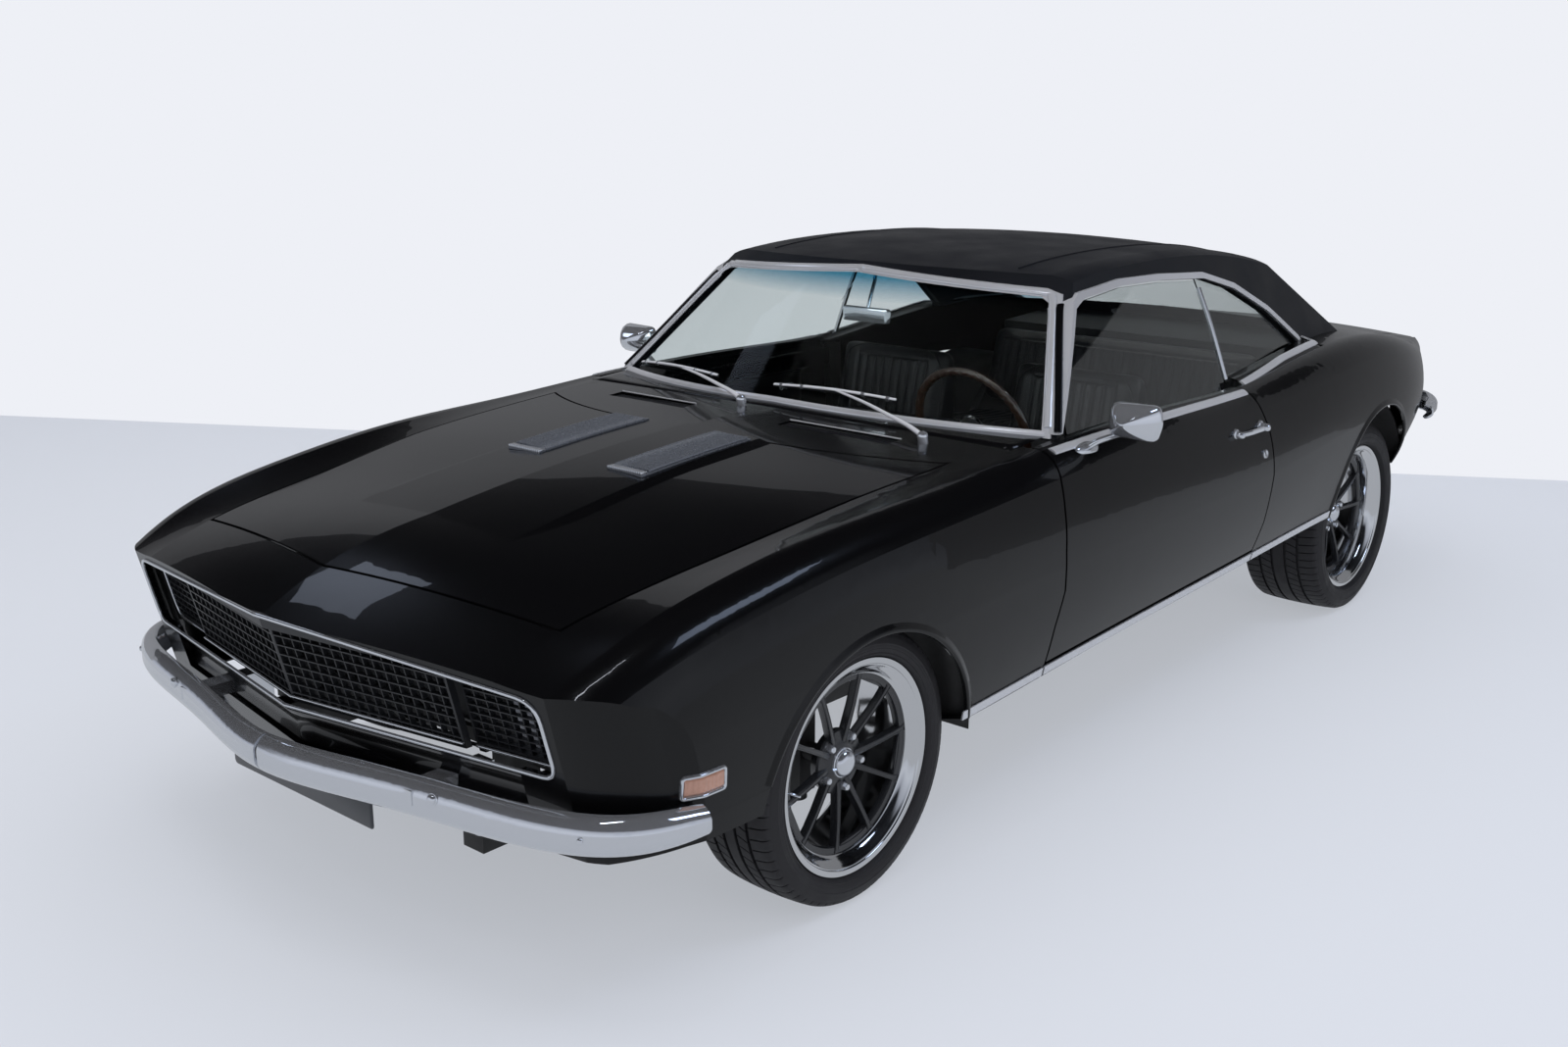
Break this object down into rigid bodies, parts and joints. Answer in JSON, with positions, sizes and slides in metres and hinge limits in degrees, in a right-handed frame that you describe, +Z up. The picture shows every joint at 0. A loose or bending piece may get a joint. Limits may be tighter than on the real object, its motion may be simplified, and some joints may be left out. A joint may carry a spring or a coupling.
{
  "type": "two-door hardtop muscle car",
  "caption": "Late-1960s style two-door hardtop car with opening doors, hood and boot lid, steered front wheels, sliding headlamp covers and a vinyl roof.",
  "frame": {"origin": "on the ground, midway between the bumpers and the two sides", "axes": "+X to the car's left, +Y to its rear, +Z up"},
  "size_m": [2.0762, 4.7035, 1.2999],
  "materials": {
    "paint": "gloss black lacquer",
    "vinyl_roof": "grained black vinyl",
    "trim_vinyl": "black vinyl upholstery",
    "dash_plastic": "padded black vinyl",
    "shelf_board": "black board",
    "chrome": "polished",
    "grille_plastic": "satin black",
    "glass": "clear",
    "lamp_glass": "clear lens",
    "red_lens": "red lens",
    "chassis_black": "satin chassis black",
    "engine_iron": "painted cast iron",
    "radiator_metal": "satin black",
    "steel": "bare steel",
    "tyre": "black rubber",
    "wheel_alloy": "polished lip, black spokes",
    "wood_rim": "varnished"
  },
  "bodies": {
    "body": {"floor_pan": "chassis_black", "door_frames": "chassis_black", "front_subframe": "chassis_black", "engine": "engine_iron", "rear_axle": "chassis_black", "exhaust": "steel", "fuel_tank": "steel", "radiator_support": "chassis_black", "radiator": "radiator_metal", "wheel_housings": "chassis_black", "front_fenders": "paint", "header_panel": "paint", "front_valance": "paint", "grille": "grille_plastic", "headlamps": "lamp_glass", "front_bumper": "chrome", "cowl_panel": "paint", "roof": "vinyl_roof", "bright_mouldings": "chrome", "windshield": "glass", "rear_window": "glass", "quarter_windows": "glass", "quarter_panels": "paint", "rear_shelf_panel": "paint", "tail_panel": "paint", "tail_lamps": "red_lens", "rear_bumper": "chrome", "dashboard": "dash_plastic", "front_seats": "trim_vinyl", "rear_seat": "trim_vinyl", "parcel_shelf": "shelf_board", "wipers": "chrome", "inside_mirror": "chrome"},
    "left_door": {"left_door": "paint", "left_door_glass": "glass", "left_door_fittings": "chrome"},
    "right_door": {"right_door": "paint", "right_door_glass": "glass", "right_door_fittings": "chrome"},
    "hood": {"hood": "paint", "hood_vents": "chrome"},
    "boot_lid": {"boot_lid": "paint"},
    "left_headlamp_door": {"left_headlamp_door": "grille_plastic"},
    "right_headlamp_door": {"right_headlamp_door": "grille_plastic"},
    "left_knuckle": {"left_knuckle": "chassis_black"},
    "right_knuckle": {"right_knuckle": "chassis_black"},
    "tie_rods": {"tie_rods": "chassis_black"},
    "steering_wheel": {"steering_wheel": "wood_rim"},
    "front_left_wheel": {"front_left_tyre": "tyre", "front_left_rim": "wheel_alloy"},
    "front_right_wheel": {"front_right_tyre": "tyre", "front_right_rim": "wheel_alloy"},
    "rear_left_wheel": {"rear_left_tyre": "tyre", "rear_left_rim": "wheel_alloy"},
    "rear_right_wheel": {"rear_right_tyre": "tyre", "rear_right_rim": "wheel_alloy"}
  },
  "joints": [
    {"name": "left_front_steer", "type": "hinge", "parent": "body", "child": "left_knuckle", "pos_m": [0.687, -1.4135, 0.316], "axis": [0, 0, 1], "range_deg": [-33, 33]},
    {"name": "right_front_steer", "type": "hinge", "parent": "body", "child": "right_knuckle", "pos_m": [-0.687, -1.4135, 0.316], "axis": [0, 0, 1], "range_deg": [-33, 33]},
    {"name": "tie_rod_slide", "type": "slide", "parent": "body", "child": "tie_rods", "axis": [-1, 0, 0], "range_m": [-0.07703, 0.07703]},
    {"name": "steering_wheel_turn", "type": "hinge", "parent": "body", "child": "steering_wheel", "pos_m": [0.336, -0.262, 0.815], "axis": [0, 0.9397, 0.342], "range_deg": [-540, 540]},
    {"name": "left_door_swing", "type": "hinge", "parent": "body", "child": "left_door", "pos_m": [0.904, -0.64, 0.6], "axis": [0, 0, -1], "range_deg": [0, 65]},
    {"name": "right_door_swing", "type": "hinge", "parent": "body", "child": "right_door", "pos_m": [-0.904, -0.64, 0.6], "axis": [0, 0, 1], "range_deg": [0, 65]},
    {"name": "hood_lift", "type": "hinge", "parent": "body", "child": "hood", "pos_m": [0, -0.836, 0.848], "axis": [-1, 0, 0], "range_deg": [0, 50]},
    {"name": "boot_lid_lift", "type": "hinge", "parent": "body", "child": "boot_lid", "pos_m": [0, 1.6, 0.862], "axis": [1, 0, 0], "range_deg": [0, 70]},
    {"name": "left_headlamp_door_slide", "type": "slide", "parent": "body", "child": "left_headlamp_door", "axis": [-0.987, -0.1609, 0], "range_m": [0, 0.215]},
    {"name": "right_headlamp_door_slide", "type": "slide", "parent": "body", "child": "right_headlamp_door", "axis": [0.987, -0.1609, 0], "range_m": [0, 0.215]},
    {"name": "front_left_wheel_spin", "type": "hinge", "parent": "left_knuckle", "child": "front_left_wheel", "pos_m": [0.754, -1.4135, 0.316], "axis": [1, 0, 0], "continuous": true},
    {"name": "front_right_wheel_spin", "type": "hinge", "parent": "right_knuckle", "child": "front_right_wheel", "pos_m": [-0.754, -1.4135, 0.316], "axis": [1, 0, 0], "continuous": true},
    {"name": "rear_left_wheel_spin", "type": "hinge", "parent": "body", "child": "rear_left_wheel", "pos_m": [0.706, 1.3295, 0.325], "axis": [1, 0, 0], "continuous": true},
    {"name": "rear_right_wheel_spin", "type": "hinge", "parent": "body", "child": "rear_right_wheel", "pos_m": [-0.706, 1.3295, 0.325], "axis": [1, 0, 0], "continuous": true}
  ],
  "couplings": [
    {"joint": "right_front_steer", "follows": "left_front_steer", "ratio": 1},
    {"joint": "tie_rod_slide", "follows": "left_front_steer", "m_per_rad": 0.132},
    {"joint": "steering_wheel_turn", "follows": "left_front_steer", "ratio": 16}
  ]
}
